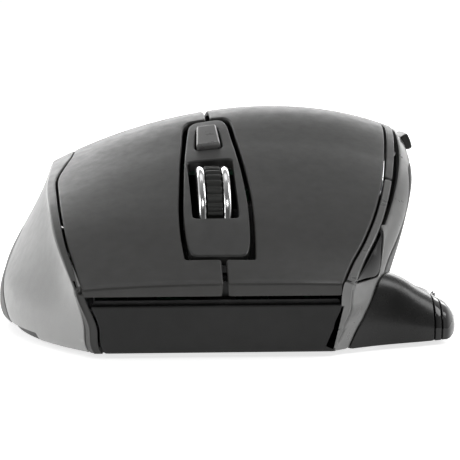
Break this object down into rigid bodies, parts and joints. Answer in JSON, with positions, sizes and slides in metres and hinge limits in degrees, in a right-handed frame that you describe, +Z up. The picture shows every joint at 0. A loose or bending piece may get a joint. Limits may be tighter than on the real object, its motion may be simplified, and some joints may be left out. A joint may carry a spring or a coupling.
{
  "type": "trackball mouse",
  "caption": "Right-handed wireless mouse with a scroll wheel, two click buttons, side buttons and a thumb-operated ball above a thumb rest.",
  "frame": {"origin": "centre of the bounding box in plan, at the surface it stands on", "axes": "+X towards the thumb side, +Y towards the palm at the rear, +Z up; the click buttons face -Y"},
  "size_m": [0.093, 0.1224, 0.0447],
  "materials": {
    "key_plastic": "matte",
    "palm_plastic": "satin",
    "bezel_plastic": "satin",
    "satin_silver": "satin",
    "grip_rubber": "matte",
    "piano_black": "gloss",
    "dark_plastic": "satin",
    "wing_plastic": "satin",
    "chrome": "polished",
    "wheel_rubber": "matte",
    "ball_gloss": "polished",
    "ceramic": "satin",
    "frame_plastic": "matte",
    "circuit_board": "satin",
    "switch_black": "satin",
    "spring_steel": "satin",
    "cell_wrap": "gloss",
    "foot_pad": "matte",
    "clear_plastic": "clear"
  },
  "bodies": {
    "shell": {"center_bezel": "bezel_plastic", "dpi_board": "circuit_board", "dpi_switch": "switch_black", "front_panel": "dark_plastic", "finger_side_panel": "satin_silver", "finger_grip": "grip_rubber", "thumb_side_panel": "satin_silver", "thumb_grip": "grip_rubber", "gloss_trim": "piano_black", "palm_cover": "palm_plastic", "wing_shell": "wing_plastic", "wing_band": "piano_black", "wing_cap": "piano_black", "thumb_rest_pad": "grip_rubber", "base_plate": "frame_plastic", "battery_bay": "frame_plastic", "battery": "cell_wrap", "battery_spring": "spring_steel", "battery_contact": "spring_steel", "main_circuit_board": "circuit_board", "left_click_switch": "switch_black", "right_click_switch": "switch_black", "middle_click_switch": "switch_black", "wheel_encoder": "switch_black", "ball_ring": "piano_black", "ball_socket": "frame_plastic", "sensor_lens": "clear_plastic", "ball_sensor": "switch_black", "sensor_board": "circuit_board", "side_switch_board": "circuit_board", "forward_switch": "switch_black", "back_switch": "switch_black", "foot_1": "foot_pad", "foot_2": "foot_pad", "foot_3": "foot_pad", "foot_4": "foot_pad", "cover_screw_1": "spring_steel", "ball_bearing_1": "ceramic", "cover_screw_2": "spring_steel", "ball_bearing_2": "ceramic", "cover_screw_3": "spring_steel", "ball_bearing_3": "ceramic", "board_screw_1": "spring_steel", "board_screw_2": "spring_steel"},
    "left_click": {"left_click_button": "key_plastic"},
    "right_click": {"right_click_button": "key_plastic"},
    "dpi_key": {"dpi_button": "satin_silver"},
    "forward_key": {"forward_button": "dark_plastic"},
    "back_key": {"back_button": "dark_plastic"},
    "wheel_cradle": {"wheel_carrier": "frame_plastic"},
    "scroll_wheel": {"wheel_hub": "chrome", "wheel_tyre": "wheel_rubber", "wheel_axle": "spring_steel"},
    "ball": {"trackball": "ball_gloss"},
    "door": {"battery_door": "frame_plastic"},
    "power_knob": {"power_switch": "switch_black"}
  },
  "joints": [
    {"name": "left_click_press", "type": "hinge", "parent": "shell", "child": "left_click", "pos_m": [0.00218, 0.02275, 0.034], "axis": [1, 0, 0], "range_deg": [0, 0.45], "stiffness_Nm_per_rad": 2},
    {"name": "right_click_press", "type": "hinge", "parent": "shell", "child": "right_click", "pos_m": [0.00218, 0.02275, 0.034], "axis": [1, 0, 0], "range_deg": [0, 0.45], "stiffness_Nm_per_rad": 2},
    {"name": "wheel_press", "type": "slide", "parent": "shell", "child": "wheel_cradle", "axis": [0, 0, -1], "range_m": [0, 0.0005], "stiffness_N_per_m": 3000},
    {"name": "wheel_spin", "type": "hinge", "parent": "wheel_cradle", "child": "scroll_wheel", "pos_m": [-0.00262, -0.02825, 0.0222], "axis": [1, 0, 0], "continuous": true},
    {"name": "dpi_press", "type": "slide", "parent": "shell", "child": "dpi_key", "axis": [0, 0, -1], "range_m": [0, 0.0005], "stiffness_N_per_m": 2000},
    {"name": "forward_press", "type": "slide", "parent": "shell", "child": "forward_key", "axis": [-1, 0, 0], "range_m": [0, 0.0005], "stiffness_N_per_m": 2000},
    {"name": "back_press", "type": "slide", "parent": "shell", "child": "back_key", "axis": [-1, 0, 0], "range_m": [0, 0.0005], "stiffness_N_per_m": 2000},
    {"name": "ball_roll", "type": "hinge", "parent": "shell", "child": "ball", "pos_m": [0.02738, 0.00775, 0.0193], "axis": [0.9976, 0, 0.0698], "continuous": true},
    {"name": "door_pull", "type": "slide", "parent": "shell", "child": "door", "axis": [0, 0, -1], "range_m": [0, 0.006]},
    {"name": "power_slide", "type": "slide", "parent": "shell", "child": "power_knob", "axis": [1, 0, 0], "range_m": [0, 0.0035]}
  ]
}
